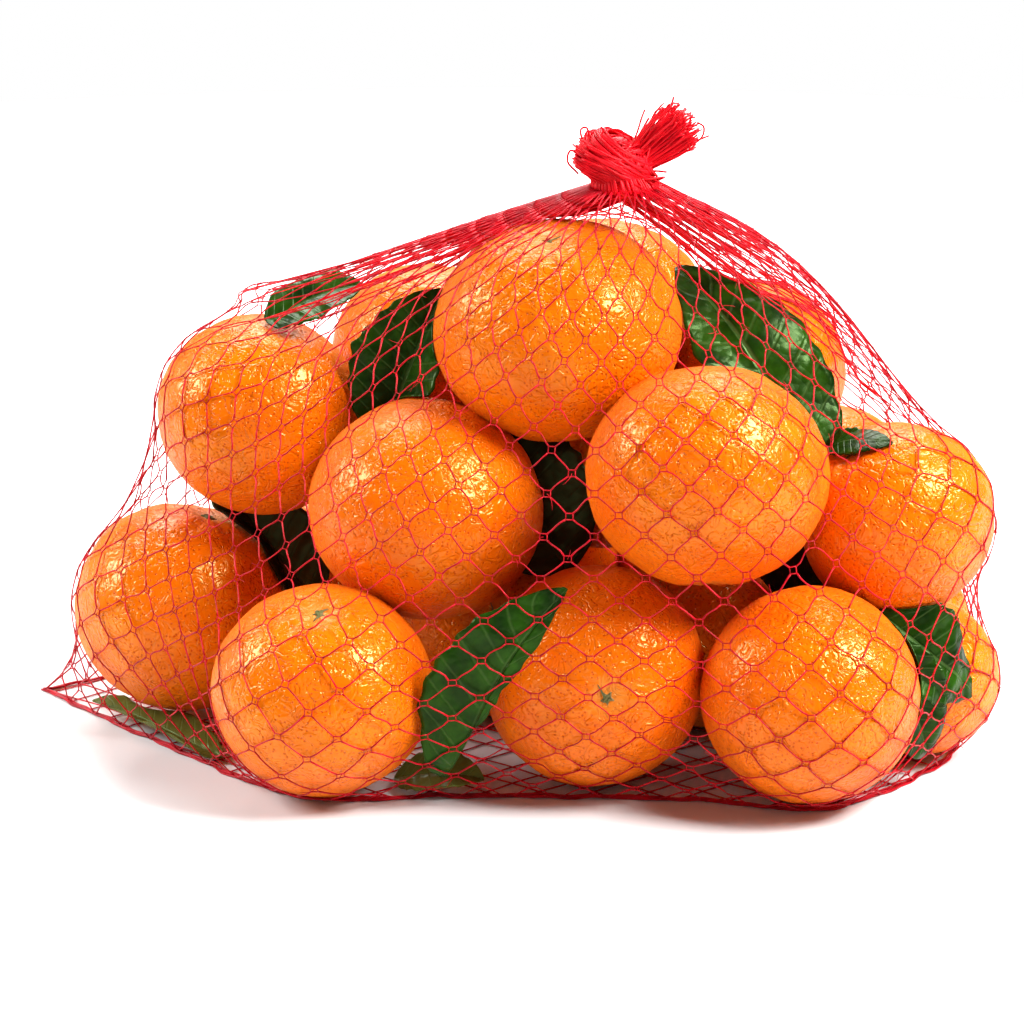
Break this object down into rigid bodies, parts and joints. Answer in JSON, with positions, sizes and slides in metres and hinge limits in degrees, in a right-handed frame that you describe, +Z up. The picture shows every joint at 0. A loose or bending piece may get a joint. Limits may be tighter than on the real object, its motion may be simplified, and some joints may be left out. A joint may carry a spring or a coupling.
{
  "type": "net of mandarins",
  "caption": "Diamond-mesh net drawn tight over a heap of mandarins, gathered into one knot with a short cut tail.",
  "frame": {"origin": "middle of the bounding box at the floor the net rests on", "axes": "+X along the long side of the heap to the right of the picture's view, +Y away from the viewer, +Z up to the knot"},
  "size_m": [0.293, 0.2006, 0.1971],
  "materials": {
    "peel": "satin orange citrus peel with fine pores",
    "net": "bright red drawn plastic strand, slightly glossy",
    "leaf": "dark green waxy citrus leaf with a pale midrib and side veins"
  },
  "bodies": {
    "root": {"net_body": "peel", "net_knot": "net", "net_tail": "net"}
  },
  "joints": []
}
